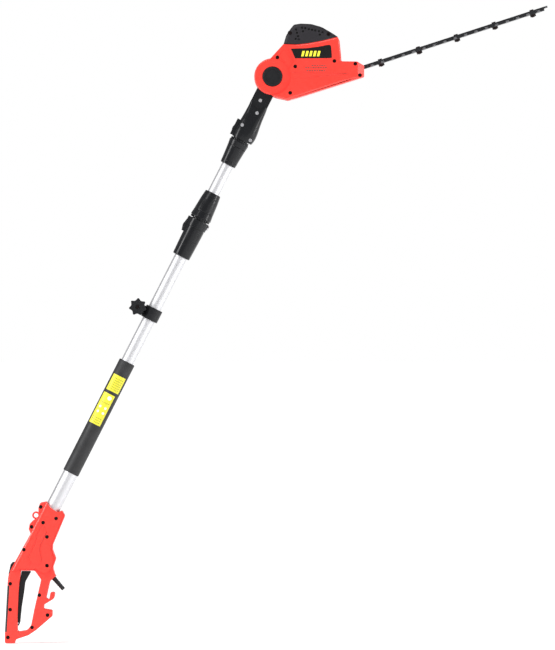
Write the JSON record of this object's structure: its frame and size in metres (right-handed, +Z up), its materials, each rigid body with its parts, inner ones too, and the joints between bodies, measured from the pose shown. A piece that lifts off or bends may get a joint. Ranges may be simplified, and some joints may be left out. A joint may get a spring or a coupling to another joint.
{
  "type": "pole hedge trimmer",
  "caption": "Electric pole hedge trimmer with a closed rear handle, a telescopic pole, a tilting motor head and a double-sided blade.",
  "frame": {"origin": "middle of the flat foot under the rear handle", "axes": "+Z up, +X from the handle towards the blade, +Y to the left of the person holding it"},
  "size_m": [1.1937, 0.076, 1.402],
  "materials": {
    "red_plastic": "semi-gloss moulded",
    "black_plastic": "fine texture",
    "badge_black": "gloss",
    "soft_rubber": "matt",
    "grip_foam": "satin",
    "yellow_label": "printed film",
    "satin_aluminium": "satin anodised",
    "cast_aluminium": "cast",
    "zinc_steel": "zinc plated",
    "black_steel": "blackened",
    "motor_steel": "laminated and cut steel",
    "carbon": "pressed carbon",
    "blade_steel": "blackened, bright edges"
  },
  "bodies": {
    "handle": {"rear_housing_left": "red_plastic", "rear_housing_right": "red_plastic", "back_grip_pad": "soft_rubber", "foot_pad": "soft_rubber", "trigger_pin": "zinc_steel", "power_switch": "black_plastic", "strain_relief_boot": "soft_rubber", "cord_clamp": "black_plastic", "handle_screws": "black_steel", "handle_tube": "satin_aluminium", "grip_sleeve": "grip_foam", "grip_labels": "yellow_label", "middle_tube": "satin_aluminium", "coupling_sleeve": "black_plastic", "coupling_screw": "zinc_steel", "coupling_collet": "black_plastic"},
    "trigger": {"trigger": "black_plastic", "trigger_spring": "zinc_steel"},
    "lock_off": {"lock_off_button": "black_plastic", "lock_off_spring": "zinc_steel"},
    "strap_clamp": {"strap_clamp_band": "black_plastic", "strap_clamp_bolt": "zinc_steel"},
    "strap_knob": {"strap_clamp_knob": "black_plastic"},
    "coupling_nut": {"coupling_lock_nut": "black_plastic"},
    "coupling_latch": {"coupling_latch_button": "black_plastic", "coupling_latch_spring": "zinc_steel"},
    "upper_pole": {"upper_tube": "satin_aluminium", "neck_housing_left": "black_plastic", "neck_housing_right": "black_plastic", "neck_screws": "zinc_steel", "neck_collet": "black_plastic", "tilt_ratchet": "zinc_steel"},
    "neck_nut": {"neck_lock_nut": "black_plastic"},
    "neck_latch": {"neck_latch_button": "black_plastic", "neck_latch_spring": "zinc_steel"},
    "head": {"head_housing_left": "red_plastic", "head_housing_right": "red_plastic", "vent_cover_left": "black_plastic", "vent_cover_right": "black_plastic", "badge_panels": "badge_black", "head_screws": "black_steel", "tilt_axle": "zinc_steel", "tilt_axle_nut": "zinc_steel", "tilt_cap": "black_plastic", "motor_stator": "motor_steel", "brush_ring": "black_plastic", "carbon_brushes": "carbon", "motor_bearings": "zinc_steel", "gear_case": "cast_aluminium", "guide_bar": "blade_steel", "blade_bolts": "zinc_steel"},
    "tilt_button": {"tilt_button": "black_plastic", "tilt_button_spring": "zinc_steel"},
    "motor_rotor": {"armature": "motor_steel", "motor_fan": "black_plastic", "motor_pinion": "motor_steel"},
    "gear_set": {"drive_gear": "motor_steel", "eccentric_axle": "motor_steel"},
    "upper_blade": {"upper_blade": "blade_steel"},
    "lower_blade": {"lower_blade": "blade_steel"}
  },
  "joints": [
    {"name": "trigger_pull", "type": "hinge", "parent": "handle", "child": "trigger", "pos_m": [0.016, 0, 0.044], "axis": [0, -1, 0], "range_deg": [0, 3], "stiffness_Nm_per_rad": 1.5, "springref_deg": -5.73, "deforming": ["trigger_spring"]},
    {"name": "lock_off_press", "type": "slide", "parent": "handle", "child": "lock_off", "axis": [0.887, 0, -0.4617], "range_m": [0, 0.003], "stiffness_N_per_m": 600, "springref_m": -0.003, "deforming": ["lock_off_spring"]},
    {"name": "strap_clamp_slide", "type": "slide", "parent": "handle", "child": "strap_clamp", "axis": [0.454, 0, 0.891], "range_m": [-0.1, 0.12]},
    {"name": "strap_knob_turn", "type": "hinge", "parent": "strap_clamp", "child": "strap_knob", "pos_m": [0.27997, 0, 0.73938], "axis": [0, -1, 0], "range_deg": [0, 720]},
    {"name": "coupling_nut_turn", "type": "hinge", "parent": "handle", "child": "coupling_nut", "pos_m": [0.43035, 0, 0.95961], "axis": [0.454, 0, 0.891], "range_deg": [0, 90]},
    {"name": "coupling_latch_press", "type": "slide", "parent": "handle", "child": "coupling_latch", "axis": [0.891, 0, -0.454], "range_m": [0, 0.0025], "stiffness_N_per_m": 900, "springref_m": -0.003, "deforming": ["coupling_latch_spring"]},
    {"name": "pole_extend", "type": "slide", "parent": "handle", "child": "upper_pole", "axis": [0.454, 0, 0.891], "range_m": [-0.06, 0.42]},
    {"name": "neck_nut_turn", "type": "hinge", "parent": "upper_pole", "child": "neck_nut", "pos_m": [0.49118, 0, 1.07901], "axis": [0.454, 0, 0.891], "range_deg": [0, 90]},
    {"name": "neck_latch_press", "type": "slide", "parent": "upper_pole", "child": "neck_latch", "axis": [0.891, 0, -0.454], "range_m": [0, 0.0025], "stiffness_N_per_m": 900, "springref_m": -0.003, "deforming": ["neck_latch_spring"]},
    {"name": "head_tilt", "type": "hinge", "parent": "upper_pole", "child": "head", "pos_m": [0.57585, 0, 1.24518], "axis": [0, 1, 0], "range_deg": [-45, 45]},
    {"name": "tilt_button_press", "type": "slide", "parent": "head", "child": "tilt_button", "axis": [0, 1, 0], "range_m": [0, 0.004], "stiffness_N_per_m": 1500, "springref_m": -0.003, "deforming": ["tilt_button_spring"]},
    {"name": "motor_spin", "type": "hinge", "parent": "head", "child": "motor_rotor", "pos_m": [0.66906, 0, 1.27547], "axis": [-0.309, 0, 0.9511], "continuous": true},
    {"name": "gear_spin", "type": "hinge", "parent": "head", "child": "gear_set", "pos_m": [0.70329, 0, 1.28659], "axis": [-0.309, 0, 0.9511], "continuous": true},
    {"name": "upper_blade_stroke", "type": "slide", "parent": "head", "child": "upper_blade", "axis": [0.9511, 0, 0.309], "range_m": [-0.006, 0.006]},
    {"name": "lower_blade_stroke", "type": "slide", "parent": "head", "child": "lower_blade", "axis": [0.9511, 0, 0.309], "range_m": [-0.006, 0.006]}
  ],
  "couplings": [
    {"joint": "gear_spin", "follows": "motor_spin", "ratio": -0.14286},
    {"joint": "lower_blade_stroke", "follows": "upper_blade_stroke", "ratio": -1}
  ]
}
